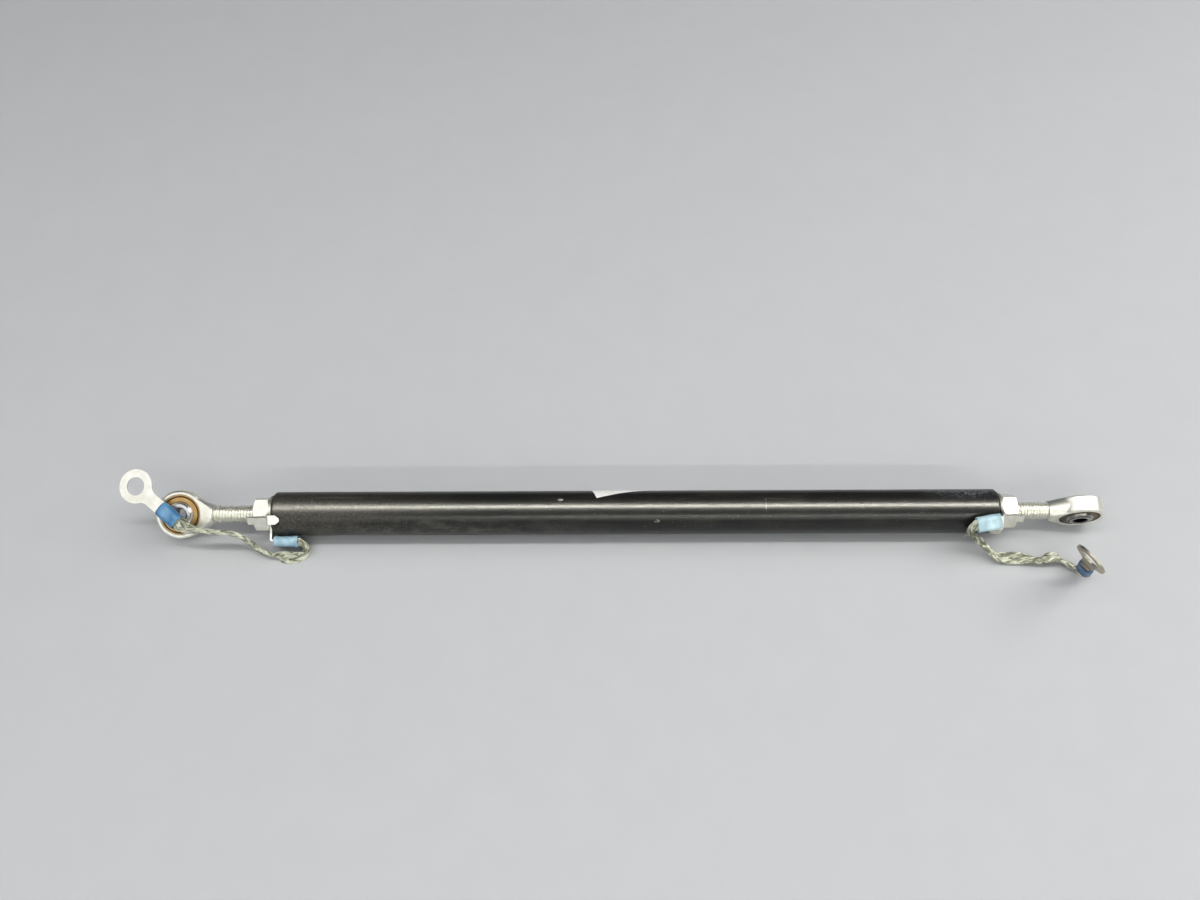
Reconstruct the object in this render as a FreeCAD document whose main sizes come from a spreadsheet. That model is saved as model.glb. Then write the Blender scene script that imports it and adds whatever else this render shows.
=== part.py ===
import FreeCAD, Part
import math
import os
import Sketcher
from FreeCAD import Placement, Rotation, Vector

# Aileron control rod: a round tube with a threaded plug bonded in each end, and
# a rod end with a swivelling ball screwed into each plug and locked by a nut.
# A short bonding braid is clamped under each nut by its ring terminal and has
# a second ring terminal on its free end.
# Lengths are in millimetres. The origin is the centre of the left ball, +X runs
# along the rod to the right ball, and +Z is up from the surface it lies on.

SIZES = {
    # tube
    "tube_length": 260.35,
    "tube_diameter": 15.875,
    "tube_wall": 1.47,
    "tube_edge": 0.6,
    # distance from each ball's centre to the end of the tube beside it
    "left_reach": 34.2,
    "right_reach": 30.9,
    # threaded plug in each end of the tube
    "plug_length": 24.0,
    "flange_diameter": 14.0,
    "flange_thickness": 0.6,
    "bond_gap": 0.05,
    "bond_groove_depth": 0.4,
    "bond_groove_width": 6.0,
    "bond_groove_start": 9.0,
    # thread of the rod ends, which the plugs and the nuts share
    "thread_diameter": 6.35,
    "thread_gap": 0.05,
    "thread_lead_in": 0.5,
    # hexagon nut
    "nut_flats": 11.11,
    "nut_thickness": 5.56,
    "nut_corner_cut": 0.2,
    # flat faces of pieces that move apart
    "face_gap": 0.05,
    # curved faces of pieces that move past each other
    "clear_gap": 0.3,
    # tab washer under each nut
    "lock_diameter": 13.2,
    "lock_thickness": 0.4,
    "lock_bend": 0.4,
    "tube_tab_width": 3.4,
    "tube_tab_overhang": 2.8,
    "tube_tab_point": 1.4,
    "nut_tab_width": 3.1,
    "nut_tab_overhang": 1.7,
    "nut_tab_shift": 1.6,
    # ring terminals and their insulating sleeves
    "ring_diameter": 12.4,
    "ring_hole": 6.7,
    "tag_thickness": 0.7,
    "tongue_width": 5.0,
    "shoulder_radius": 4.0,
    "terminal_reach": 12.4,
    "fold_radius": 0.8,
    "barrel_width": 4.0,
    "barrel_height": 2.3,
    "sleeve_gap": 0.05,
    "sleeve_setback": 0.1,
    "sleeve_length": 8.6,
    "sleeve_width": 6.0,
    "sleeve_height": 3.4,
    "mouth_width": 5.8,
    "mouth_height": 4.0,
    "mouth_bore_width": 4.8,
    "mouth_bore_height": 3.2,
    "mouth_depth": 2.2,
    # rod end
    "head_diameter": 17.3,
    "head_width": 6.1,
    "head_edge": 0.5,
    "shank_reach": 45.0,
    "thread_start": 11.6,
    "neck_root": 3.6,
    "neck_root_diameter": 15.4,
    "neck_end_diameter": 6.8,
    "neck_collar": 0.6,
    # bearing race pressed and staked into the head
    "race_diameter": 14.2,
    "race_width": 5.7,
    "seat_bevel": 0.3,
    "stake_groove_inset": 0.35,
    "stake_groove_width": 0.5,
    "stake_groove_depth": 0.35,
    # ball
    "ball_diameter": 11.1125,
    "ball_width": 7.94,
    "ball_bore": 4.826,
    "ball_chamfer": 0.3,
    "swivel_gap": 0.05,
    # flat bonding braid, drawn as a plain round tube of about its section
    "braid_diameter": 2.6,
    # turn about the rod's axis, in degrees from straight up towards the viewer
    "left_eye_turn": 38.7,
    "right_eye_turn": 107.0,
    "left_nut_turn": 43.7,
    "right_nut_turn": 46.7,
    "left_tag_turn": 114.0,
    "right_tag_turn": 55.7,
    "left_tube_tab_turn": 50.7,
    "right_tube_tab_turn": 96.7,
    "right_tag_skew": 10.7,
    # free terminals: centre of the ring, then heading, dip and roll in degrees
    "left_free_x": -15.57,
    "left_free_y": 5.82,
    "left_free_z": 9.27,
    "left_free_heading": -37.8,
    "left_free_dip": 14.6,
    "left_free_roll": 30.1,
    "right_free_x": 318.4,
    "right_free_y": -29.84,
    "right_free_z": 13.0,
    "right_free_heading": 55.8,
    "right_free_dip": 63.1,
    "right_free_roll": -158.0,
}

# Routes of the braids between the wire ends of their two terminals, chosen by
# eye. The first and last points are worked out from the terminals.
LEFT_ROUTE = [
    (44.6, -9.35, -4.2), (45.9, -11.2, -6.9), (44.0, -13.6, -7.85),
    (39.6, -14.0, -7.85), (34.8, -13.1, -7.85), (30.2, -11.8, -7.8),
    (26.4, -9.9, -6.3), (23.4, -8.7, -3.2), (20.2, -8.5, -0.2),
    (15.8, -8.6, 0.8), (11.2, -9.1, 2.0), (6.4, -9.0, 3.2), (2.0, -7.8, 3.5),
]
RIGHT_ROUTE = [
    (284.4, -9.56, 4.16), (283.1, -10.7, 1.4), (286.8, -11.3, -1.3),
    (290.2, -12.4, -4.5), (293.6, -14.8, -7.4), (297.8, -15.6, -7.85),
    (302.2, -15.4, -7.6), (306.6, -16.2, -7.7), (310.6, -17.2, -7.0),
    (314.0, -15.8, -5.8), (317.2, -17.0, -7.0), (320.6, -19.0, -7.85),
    (324.3, -21.2, -7.7),
]

doc = FreeCAD.newDocument("control_rod")
sheet = doc.addObject("Spreadsheet::Sheet", "Sizes")
for row, (name, value) in enumerate(SIZES.items(), 1):
    sheet.set(f"A{row}", name)
    sheet.set(f"B{row}", str(value))
    sheet.setAlias(f"B{row}", name)
doc.recompute()


class Size:
    """A formula on the sheet's cells, with its value for the first drawing."""

    def __init__(self, text, value):
        self.text = text
        self.value = value

    def join(self, sign, other, value):
        return Size(f"({self.text} {sign} {text_of(other)})", value)

    def __add__(self, other):
        return self.join("+", other, self.value + value_of(other))

    def __sub__(self, other):
        return self.join("-", other, self.value - value_of(other))

    def __mul__(self, other):
        return self.join("*", other, self.value * value_of(other))

    def __truediv__(self, other):
        return self.join("/", other, self.value / value_of(other))

    def __neg__(self):
        return Size(f"(0 - {self.text})", -self.value)


def value_of(number):
    return number.value if isinstance(number, Size) else number


def text_of(number):
    return number.text if isinstance(number, Size) else repr(float(number))


def size(alias):
    return Size(f"Sizes.{alias}", float(sheet.get(alias)))


def root(square):
    return Size(f"sqrt({square.text})", math.sqrt(square.value))


def bind(thing, prop, number):
    if isinstance(number, Size):
        thing.setExpression(prop, number.text)
    else:
        setattr(thing, prop, number)


# Names shared by several pieces
ZERO = 0.0
tube_r = size("tube_diameter") / 2
tube_bore_r = tube_r - size("tube_wall")
thread_r = size("thread_diameter") / 2
tapped_r = thread_r + size("thread_gap")
tag = size("tag_thickness")
lock = size("lock_thickness")
# Stack on each rod end, measured outwards from the end of the tube
tag_inner_face = size("flange_thickness") + size("face_gap")
tag_outer_face = tag_inner_face + tag
lock_outer_face = tag_outer_face + lock
nut_inner_face = lock_outer_face + size("face_gap")
nut_outer_face = nut_inner_face + size("nut_thickness")
# The sleeves of the clamped terminals lie along the tube, just clear of it
fold_reach = tube_r + size("clear_gap") + size("mouth_height") / 2
sleeve_start = size("fold_radius") + size("sleeve_setback")
tube_left_x = size("left_reach")
tube_right_x = size("left_reach") + size("tube_length")
right_ball_x = tube_right_x + size("right_reach")


def make_body(label):
    body = doc.addObject("PartDesign::Body", label)
    body.Label = label
    return body


def sketch_on(body, plane, name, offset=None):
    """A sketch on one of the body's own planes, moved along its normal."""
    sketch = body.newObject("Sketcher::SketchObject", f"{body.Label}_{name}")
    base = next(f for f in body.Origin.OriginFeatures if f.Role == plane)
    sketch.AttachmentSupport = [(base, "")]
    sketch.MapMode = "FlatFace"
    if isinstance(offset, Size):
        sketch.setExpression("AttachmentOffset.Base.z", offset.text)
    return sketch


def pin_point(sketch, edge, end, point):
    """Holds one end of an edge at two formulas, measured from the origin."""
    for kind, number in zip(("DistanceX", "DistanceY"), point):
        index = sketch.addConstraint(
            Sketcher.Constraint(kind, -1, 1, edge, end, value_of(number)))
        if isinstance(number, Size):
            sketch.setExpression(f"Constraints[{index}]", number.text)


def outline(sketch, points, arcs=None):
    """A closed outline through the points, in order.

    arcs gives, for the edges that are round, the index of the point they start
    at, with their centre, their radius and +1 if they turn anticlockwise.
    """
    arcs = arcs or {}
    flat = [Vector(value_of(x), value_of(y), 0) for x, y in points]
    count = len(points)
    starts = []
    ends = []
    for index, start in enumerate(flat):
        finish = flat[(index + 1) % count]
        if index in arcs:
            centre, radius, turn = arcs[index]
            middle = Vector(value_of(centre[0]), value_of(centre[1]), 0)
            circle = Part.Circle(middle, Vector(0, 0, 1), value_of(radius))
            angles = [math.atan2(p.y - middle.y, p.x - middle.x) for p in (start, finish)]
            if turn < 0:
                angles.reverse()
            edge = sketch.addGeometry(Part.ArcOfCircle(circle, *angles))
            starts.append((edge, 1 if turn > 0 else 2))
            ends.append((edge, 2 if turn > 0 else 1))
            if (finish - start).Length > 1.99 * value_of(radius):
                # A half circle is held by its centre, which its ends leave free
                held = sketch.addConstraint(
                    Sketcher.Constraint("DistanceX", -1, 1, edge, 3, middle.x))
                sketch.setExpression(f"Constraints[{held}]", centre[0].text)
            else:
                held = sketch.addConstraint(
                    Sketcher.Constraint("Radius", edge, value_of(radius)))
                sketch.setExpression(f"Constraints[{held}]", radius.text)
        else:
            edge = sketch.addGeometry(Part.LineSegment(start, finish))
            starts.append((edge, 1))
            ends.append((edge, 2))
    for index in range(count):
        sketch.addConstraint(
            Sketcher.Constraint("Coincident", *ends[index - 1], *starts[index]))
        pin_point(sketch, *starts[index], points[index])


def ring(sketch, *radii):
    """Circles about the sketch's origin."""
    for radius in radii:
        edge = sketch.addGeometry(
            Part.Circle(Vector(), Vector(0, 0, 1), value_of(radius)))
        sketch.addConstraint(Sketcher.Constraint("Coincident", edge, 3, -1, 1))
        index = sketch.addConstraint(
            Sketcher.Constraint("Radius", edge, value_of(radius)))
        sketch.setExpression(f"Constraints[{index}]", radius.text)


def oval(sketch, width, height):
    """A slot shape about the sketch's origin, with half-round ends."""
    end_r = height / 2
    flat = (width - height) / 2
    points = [(-flat, -end_r), (flat, -end_r), (flat, end_r), (-flat, end_r)]
    outline(sketch, points, {1: ((flat, ZERO), end_r, 1), 3: ((-flat, ZERO), end_r, 1)})


def pad(body, sketch, length, symmetric=False):
    feature = body.newObject("PartDesign::Pad", f"{sketch.Name}_pad")
    feature.Profile = sketch
    bind(feature, "Length", length)
    if symmetric:
        feature.SideType = "Symmetric"
    return feature


def cut_through(body, sketch, depth=None):
    """Cuts the sketch along its own normal, through the rest of the body."""
    feature = body.newObject("PartDesign::Pocket", f"{sketch.Name}_pocket")
    feature.Profile = sketch
    feature.Type = "Length" if depth else "ThroughAll"
    if depth:
        bind(feature, "Length", depth)
    feature.Reversed = True
    return feature


def spin(body, sketch, axis="H_Axis", cut=False):
    kind = "Groove" if cut else "Revolution"
    feature = body.newObject(f"PartDesign::{kind}", f"{sketch.Name}_{kind.lower()}")
    feature.Profile = sketch
    feature.ReferenceAxis = (sketch, [axis])
    feature.Angle = 360
    return feature


def loft(body, sketches):
    feature = body.newObject("PartDesign::AdditiveLoft", f"{body.Label}_loft")
    feature.Profile = sketches[0]
    feature.Sections = sketches[1:]
    return feature


def facing(side, turn):
    """Turns a piece of a side's end to face the tube, then about the rod."""
    half_turn = 0 if side == "left" else 180
    return Rotation(Vector(1, 0, 0), turn) * Rotation(Vector(0, 0, 1), half_turn)


def place(body, x, rotation):
    body.Placement = Placement(Vector(x.value, 0, 0), rotation)
    body.setExpression("Placement.Base.x", x.text)


def tube_end_x(side):
    return tube_left_x if side == "left" else tube_right_x


def make_tube():
    body = make_body("tube")
    edge = size("tube_edge")
    far = size("tube_length")
    section = sketch_on(body, "XY_Plane", "section")
    points = [
        (ZERO, tube_bore_r), (far, tube_bore_r), (far, tube_r - edge),
        (far - edge, tube_r), (edge, tube_r), (ZERO, tube_r - edge),
    ]
    right_edge = ((far - edge, tube_r - edge), edge, 1)
    left_edge = ((edge, tube_r - edge), edge, 1)
    outline(section, points, {2: right_edge, 4: left_edge})
    spin(body, section)
    place(body, tube_left_x, Rotation())
    return body


def make_plug(side):
    """Threaded plug: its flange seats on the tube's end, the rest is bonded in."""
    body = make_body(f"{side}_end_plug")
    outer_r = tube_bore_r - size("bond_gap")
    waist_r = outer_r - size("bond_groove_depth")
    lead_in = size("thread_lead_in")
    flange = -size("flange_thickness")
    flange_r = size("flange_diameter") / 2
    end = size("plug_length")
    groove_start = size("bond_groove_start")
    groove_end = groove_start + size("bond_groove_width")
    section = sketch_on(body, "XY_Plane", "section")
    outline(section, [
        (flange, tapped_r + lead_in), (flange + lead_in, tapped_r),
        (end - lead_in, tapped_r), (end, tapped_r + lead_in),
        (end, outer_r - lead_in), (end - lead_in, outer_r),
        (groove_end, outer_r), (groove_end, waist_r),
        (groove_start, waist_r), (groove_start, outer_r),
        (ZERO, outer_r), (ZERO, flange_r), (flange, flange_r),
    ])
    spin(body, section)
    place(body, tube_end_x(side), facing(side, 0))
    return body


def make_nut(side):
    body = make_body(f"{side}_jam_nut")
    half_flat = size("nut_flats") / 2
    corner_r = size("nut_flats") / root(Size("3.0", 3.0))
    half_corner = corner_r / 2
    near = -nut_outer_face
    far = -nut_inner_face
    hexagon = sketch_on(body, "YZ_Plane", "hexagon", near)
    outline(hexagon, [
        (ZERO, corner_r), (-half_flat, half_corner), (-half_flat, -half_corner),
        (ZERO, -corner_r), (half_flat, -half_corner), (half_flat, half_corner),
    ])
    pad(body, hexagon, size("nut_thickness"))
    # The corners are turned off at 30 degrees on both faces
    face_r = half_flat - size("nut_corner_cut")
    clear_r = corner_r + 1
    run = (clear_r - face_r) / root(Size("3.0", 3.0))
    corners = sketch_on(body, "XY_Plane", "corners")
    outline(corners, [(near, face_r), (near + run, clear_r), (near, clear_r)])
    outline(corners, [(far, face_r), (far, clear_r), (far - run, clear_r)])
    spin(body, corners, cut=True)
    lead_in = size("thread_lead_in")
    bore = sketch_on(body, "XY_Plane", "bore")
    outline(bore, [
        (near, ZERO), (near, tapped_r + lead_in), (near + lead_in, tapped_r),
        (far - lead_in, tapped_r), (far, tapped_r + lead_in), (far, ZERO),
    ])
    spin(body, bore, cut=True)
    turn = sheet.get(f"{side}_nut_turn")
    place(body, tube_end_x(side), facing(side, turn))
    return body


def make_lock_washer(side):
    """Ring with a pointed tab over the tube's edge and one along the nut's flat."""
    body = make_body(f"{side}_lock_washer")
    near = -lock_outer_face
    far = -tag_outer_face
    outer_r = size("lock_diameter") / 2
    disc = sketch_on(body, "YZ_Plane", "disc", near)
    ring(disc, tapped_r, outer_r)
    pad(body, disc, lock)

    bend = size("lock_bend")
    inner = tube_r + size("clear_gap")
    tip = size("tube_tab_overhang")
    foot = outer_r - tag
    centre = (far + bend, inner - bend)
    side_view = sketch_on(body, "XZ_Plane", "tube_tab")
    points = [
        (near, foot), (far, foot), (far, inner - bend), (far + bend, inner),
        (tip, inner), (tip, inner + lock), (far + bend, inner + lock),
        (near, inner - bend),
    ]
    outline(side_view, points, {2: (centre, bend, -1), 6: (centre, bend + lock, 1)})
    pad(body, side_view, size("tube_tab_width"), symmetric=True)
    half_width = size("tube_tab_width") / 2
    point_start = tip - size("tube_tab_point")
    trim = sketch_on(body, "XY_Plane", "tab_point")
    for sign in (1, -1):
        edge_y = half_width * sign
        outline(trim, [
            (point_start, edge_y), (tip, edge_y / 3), (tip + bend, edge_y / 3),
            (tip + bend, edge_y * 2), (point_start, edge_y * 2),
        ][::sign])
    cut_through(body, trim)

    # The second tab is parallel to the flat beside the corner that faces up
    turn = sheet.get(f"{side}_tube_tab_turn")
    across = sheet.get(f"{side}_nut_turn") + 30 - turn
    mirror = 1 if side == "left" else -1
    angle = math.radians(across * mirror)
    shift = -sheet.get("nut_tab_shift") * mirror
    flat = size("nut_flats") / 2 + size("clear_gap")
    end = -nut_outer_face - size("nut_tab_overhang")
    tab = sketch_on(body, "XZ_Plane", "nut_tab")
    tab.AttachmentOffset = Placement(
        Vector(0, -shift * math.sin(angle), shift * math.cos(angle)),
        Rotation(Vector(1, 0, 0), math.degrees(angle)))
    outline(tab, [(far, flat), (far, flat + lock), (end, flat + lock), (end, flat)])
    pad(body, tab, size("nut_tab_width"), symmetric=True)
    place(body, tube_end_x(side), facing(side, turn))
    return body


def tongue(sketch, end, upright=False):
    """The strip from a terminal's ring, blended into it by a round each side."""
    ring_r = size("ring_diameter") / 2
    half = size("tongue_width") / 2
    blend = size("shoulder_radius")
    offset = half + blend
    along = root((ring_r + blend) * (ring_r + blend) - offset * offset)
    share = ring_r / (ring_r + blend)
    foot = (along * share, offset * share)
    points = [
        (foot[0], -foot[1]), (along, -half), (end, -half),
        (end, half), (along, half), foot,
    ]
    centres = {0: (along, -offset), 4: (along, offset)}
    if upright:
        points = [(-y, x) for x, y in points]
        centres = {index: (-y, x) for index, (x, y) in centres.items()}
    outline(sketch, points, {i: (centre, blend, -1) for i, centre in centres.items()})


def make_clamped_terminal(side):
    """Ring terminal round the thread, its tongue folded over towards the tube."""
    body = make_body(f"{side}_clamped_terminal")
    disc = sketch_on(body, "YZ_Plane", "ring")
    ring(disc, size("ring_hole") / 2, size("ring_diameter") / 2)
    pad(body, disc, tag, symmetric=True)
    half = tag / 2
    bend = size("fold_radius")
    strip = sketch_on(body, "YZ_Plane", "strip")
    tongue(strip, fold_reach - bend, upright=True)
    pad(body, strip, tag, symmetric=True)
    foot = fold_reach - bend - tag
    centre = (bend, fold_reach - bend)
    end = sleeve_start - size("sleeve_gap")
    fold = sketch_on(body, "XZ_Plane", "fold")
    points = [
        (-half, foot), (half, foot), (half, fold_reach - bend),
        (bend, fold_reach - half), (end, fold_reach - half),
        (end, fold_reach + half), (bend, fold_reach + half),
        (-half, fold_reach - bend),
    ]
    outline(fold, points, {2: (centre, bend - half, -1), 6: (centre, bend + half, 1)})
    pad(body, fold, size("tongue_width"), symmetric=True)
    skew = sheet.get("right_tag_skew") if side == "right" else 0
    along = Rotation(Vector(0, 0, 1), skew)
    barrel = sketch_on(body, "YZ_Plane", "barrel")
    barrel.AttachmentOffset = Placement(
        Vector(0, fold_reach.value, bend.value), Rotation(Vector(0, 1, 0), skew))
    bind(barrel, "AttachmentOffset.Base.y", fold_reach)
    bind(barrel, "AttachmentOffset.Base.z", bend)
    oval(barrel, size("barrel_width"), size("barrel_height"))
    # A skewed sleeve starts further back, so that its corner clears the tongue
    skew_room = size("tongue_width") / 2 * math.tan(math.radians(skew))
    setback = size("sleeve_setback") + skew_room
    grip = size("sleeve_length") - size("mouth_depth")
    pad(body, barrel, grip + setback)
    x = tube_end_x(side)
    reach = tag_inner_face + half
    x = x - reach if side == "left" else x + reach
    place(body, x, facing(side, sheet.get(f"{side}_tag_turn")))
    inside = Placement(Vector(bend.value, 0, fold_reach.value), along)
    seat = Placement(Vector(setback.value, 0, 0), Rotation())
    return body, body.Placement * inside * seat


def make_free_terminal(side):
    """Straight ring terminal on the braid's free end."""
    body = make_body(f"{side}_free_terminal")
    ring_r = size("ring_diameter") / 2
    disc = sketch_on(body, "XY_Plane", "ring")
    ring(disc, size("ring_hole") / 2, ring_r)
    pad(body, disc, tag, symmetric=True)
    reach = size("terminal_reach")
    strip = sketch_on(body, "XY_Plane", "strip")
    tongue(strip, reach - size("sleeve_gap"))
    pad(body, strip, tag, symmetric=True)
    setback = size("sleeve_setback")
    barrel = sketch_on(body, "YZ_Plane", "barrel", reach - setback)
    oval(barrel, size("barrel_width"), size("barrel_height"))
    grip = size("sleeve_length") - size("mouth_depth")
    pad(body, barrel, grip + setback)
    centre = Vector(*(sheet.get(f"{side}_free_{axis}") for axis in "xyz"))
    angles = [sheet.get(f"{side}_free_{name}") for name in ("heading", "dip", "roll")]
    body.Placement = Placement(centre, Rotation(*angles))
    for axis in "xyz":
        body.setExpression(f"Placement.Base.{axis}", f"Sizes.{side}_free_{axis}")
    seat = Placement(Vector(reach.value, 0, 0), Rotation())
    return body, body.Placement * seat


def make_sleeve(label, where):
    """Insulating sleeve, pinched on the barrel and more open at the wire end."""
    body = make_body(label)
    length = size("sleeve_length")
    width = size("sleeve_width")
    height = size("sleeve_height")
    stations = [
        (ZERO, width - 0.5, height), (length * 0.35, width, height),
        (length * 0.7, width - 0.1, height + 0.2),
        (length, size("mouth_width"), size("mouth_height")),
    ]
    sections = []
    for number, (x, wide, high) in enumerate(stations, 1):
        section = sketch_on(body, "YZ_Plane", f"section_{number}", x)
        oval(section, wide, high)
        sections.append(section)
    loft(body, sections)
    gap = size("sleeve_gap") * 2
    inside = sketch_on(body, "YZ_Plane", "inside")
    oval(inside, size("barrel_width") + gap, size("barrel_height") + gap)
    cut_through(body, inside)
    mouth = sketch_on(body, "YZ_Plane", "mouth", length - size("mouth_depth"))
    oval(mouth, size("mouth_bore_width"), size("mouth_bore_height"))
    cut_through(body, mouth)
    body.Placement = where
    return body


def make_rod_end(side):
    """Head with a stepped bore, neck and shank, made in one piece."""
    body = make_body(f"{side}_rod_end_body")
    head_r = size("head_diameter") / 2
    half = size("head_width") / 2
    edge = size("head_edge")
    # The neck is turned as a cone about the shank, then cut flush with the head
    # as far as the collar that is left round at its end
    start = size("thread_start")
    neck_r = size("neck_end_diameter") / 2
    root_x = size("neck_root")
    root_r = size("neck_root_diameter") / 2
    cone = sketch_on(body, "XY_Plane", "neck")
    outline(cone, [
        (ZERO, ZERO), (start, ZERO), (start, neck_r), (root_x, root_r), (ZERO, root_r),
    ])
    spin(body, cone)
    flats = sketch_on(body, "YZ_Plane", "flats")
    outline(flats, [(-head_r, half), (head_r, half), (head_r, head_r), (-head_r, head_r)])
    outline(flats, [(-head_r, -head_r), (head_r, -head_r), (head_r, -half), (-head_r, -half)])
    cut_through(body, flats, start - size("neck_collar"))
    disc = sketch_on(body, "XZ_Plane", "head")
    outline(disc, [
        (ZERO, -half), (head_r - edge, -half), (head_r, edge - half),
        (head_r, half - edge), (head_r - edge, half), (ZERO, half),
    ])
    spin(body, disc, "V_Axis")
    end = size("shank_reach")
    lead_in = size("thread_lead_in")
    shank = sketch_on(body, "XY_Plane", "shank")
    outline(shank, [
        (start - lead_in, ZERO), (start - lead_in, thread_r), (end - lead_in, thread_r),
        (end, thread_r - lead_in), (end, ZERO),
    ])
    spin(body, shank)
    seat_r = size("race_diameter") / 2
    bevel = size("seat_bevel")
    bore = sketch_on(body, "XZ_Plane", "bore")
    outline(bore, [
        (ZERO, -half), (seat_r + bevel, -half), (seat_r, bevel - half),
        (seat_r, half - bevel), (seat_r + bevel, half), (ZERO, half),
    ])
    spin(body, bore, "V_Axis", cut=True)
    place(body, ball_x(side), facing(side, sheet.get(f"{side}_eye_turn")))
    return body


def ball_x(side):
    return Size("0.0", 0.0) if side == "left" else right_ball_x


def make_race(side):
    """Race with a spherical seat and a staking groove in both faces."""
    body = make_body(f"{side}_race")
    seat_r = size("ball_diameter") / 2 + size("swivel_gap")
    outer_r = size("race_diameter") / 2
    half = size("race_width") / 2
    mouth = root(seat_r * seat_r - half * half)
    groove_out = outer_r - size("stake_groove_inset")
    groove_in = groove_out - size("stake_groove_width")
    groove_mid = groove_out - size("stake_groove_width") / 2
    floor = half - size("stake_groove_depth")
    upper = [
        (outer_r, half), (groove_out, half), (groove_mid, floor),
        (groove_in, half), (mouth, half),
    ]
    lower = [(x, -y) for x, y in reversed(upper)]
    points = lower + upper
    section = sketch_on(body, "XZ_Plane", "section")
    seat = {len(points) - 1: ((ZERO, ZERO), seat_r, -1)}
    outline(section, points, seat)
    spin(body, section, "V_Axis")
    place(body, ball_x(side), facing(side, sheet.get(f"{side}_eye_turn")))
    return body


def make_ball(side):
    body = make_body(f"{side}_ball")
    sphere_r = size("ball_diameter") / 2
    half = size("ball_width") / 2
    bore_r = size("ball_bore") / 2
    bevel = size("ball_chamfer")
    face = root(sphere_r * sphere_r - half * half)
    section = sketch_on(body, "XZ_Plane", "section")
    points = [
        (face, -half), (face, half), (bore_r + bevel, half), (bore_r, half - bevel),
        (bore_r, bevel - half), (bore_r + bevel, -half),
    ]
    outline(section, points, {0: ((ZERO, ZERO), sphere_r, 1)})
    spin(body, section, "V_Axis")
    place(body, ball_x(side), facing(side, sheet.get(f"{side}_eye_turn")))
    return body


def wire_end(sleeve_at):
    """Where the braid leaves the barrel inside a sleeve, and which way."""
    inset = sheet.get("sleeve_length") - sheet.get("mouth_depth")
    return sleeve_at.multVec(Vector(inset, 0, 0)), sleeve_at.Rotation.multVec(Vector(1, 0, 0))


def smooth_route(points):
    """Straight runs joined by the largest tangent arcs that the runs allow."""
    edges = []
    radii = []
    here = points[0]
    for before, corner, after in zip(points, points[1:], points[2:]):
        inward = (corner - before).normalize()
        outward = (after - corner).normalize()
        turn = inward.getAngle(outward)
        shorter = min(before.distanceToPoint(corner), corner.distanceToPoint(after))
        radius = 0.45 * shorter / math.tan(turn / 2)
        tangent = 0.45 * shorter
        start = corner - inward * tangent
        finish = corner + outward * tangent
        towards = (outward - inward).normalize()
        depth = radius / math.cos(turn / 2) - radius
        edges.append(Part.LineSegment(here, start).toShape())
        edges.append(Part.Arc(start, corner + towards * depth, finish).toShape())
        radii.append(radius)
        here = finish
    edges.append(Part.LineSegment(here, points[-1]).toShape())
    return Part.Wire(edges), radii


def make_braid(side, clamped_at, free_at, inner_points):
    label = f"{side}_braid"
    begin = wire_end(clamped_at)[0]
    finish = wire_end(free_at)[0]
    points = [begin] + [Vector(*p) for p in inner_points] + [finish]
    wire, radii = smooth_route(points)
    route = doc.addObject("Part::Feature", f"{label}_route")
    route.Shape = wire
    circle = doc.addObject("Part::Circle", f"{label}_section")
    circle.setExpression("Radius", "Sizes.braid_diameter / 2")
    along = (points[1] - points[0]).normalize()
    circle.Placement = Placement(begin, Rotation(Vector(0, 0, 1), along))
    sweep = doc.addObject("Part::Sweep", label)
    sweep.Label = label
    sweep.Sections = [circle]
    sweep.Spine = (route, [f"Edge{n}" for n in range(1, len(wire.Edges) + 1)])
    sweep.Solid = True
    sweep.Frenet = False
    ends = [tuple(round(c, 3) for c in point) for point in (begin, finish)]
    print(f"{label}: length {wire.Length:.1f}, arc radii", [round(r, 1) for r in radii])
    print(f"{label}: from {ends[0]} to {ends[1]}")
    return sweep, wire.Length


pieces = [make_tube()]
cords = []
ROUTES = {"left": LEFT_ROUTE, "right": RIGHT_ROUTE}
for side, inner_points in ROUTES.items():
    pieces += [make_plug(side), make_rod_end(side), make_race(side), make_ball(side)]
    pieces += [make_nut(side), make_lock_washer(side)]
    clamped, clamped_sleeve_at = make_clamped_terminal(side)
    free, free_sleeve_at = make_free_terminal(side)
    pieces += [clamped, make_sleeve(f"{side}_clamped_sleeve", clamped_sleeve_at)]
    pieces += [free, make_sleeve(f"{side}_free_sleeve", free_sleeve_at)]
    braid, route_length = make_braid(side, clamped_sleeve_at, free_sleeve_at, inner_points)
    pieces.append(braid)
    cords.append((braid, route_length))

doc.recompute()
for thing in doc.Objects:
    if "Invalid" in thing.State or "Error" in thing.State:
        raise RuntimeError(f"{thing.Label} did not rebuild: {thing.State}")
for piece in pieces:
    if piece.Shape.isNull() or not piece.Shape.isValid():
        raise RuntimeError(f"{piece.Label} has no valid shape")
section_area = math.pi * (sheet.get("braid_diameter") / 2) ** 2
for braid, route_length in cords:
    share = braid.Shape.Volume / (section_area * route_length)
    print(f"{braid.Label}: volume over section times length {share:.3f}")

os.makedirs("parts", exist_ok=True)
for piece in pieces:
    piece.Shape.exportStep(f"parts/{piece.Label}.step")
    box = piece.Shape.BoundBox
    print(f"{piece.Label}: {piece.Shape.Volume:.1f} mm3, {len(piece.Shape.Solids)} solid,"
          f" x {box.XMin:.1f} to {box.XMax:.1f}, y {box.YMin:.1f} to {box.YMax:.1f},"
          f" z {box.ZMin:.1f} to {box.ZMax:.1f}")
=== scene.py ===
import bpy
import bmesh
import math
import random
from mathutils import Matrix, Vector


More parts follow.
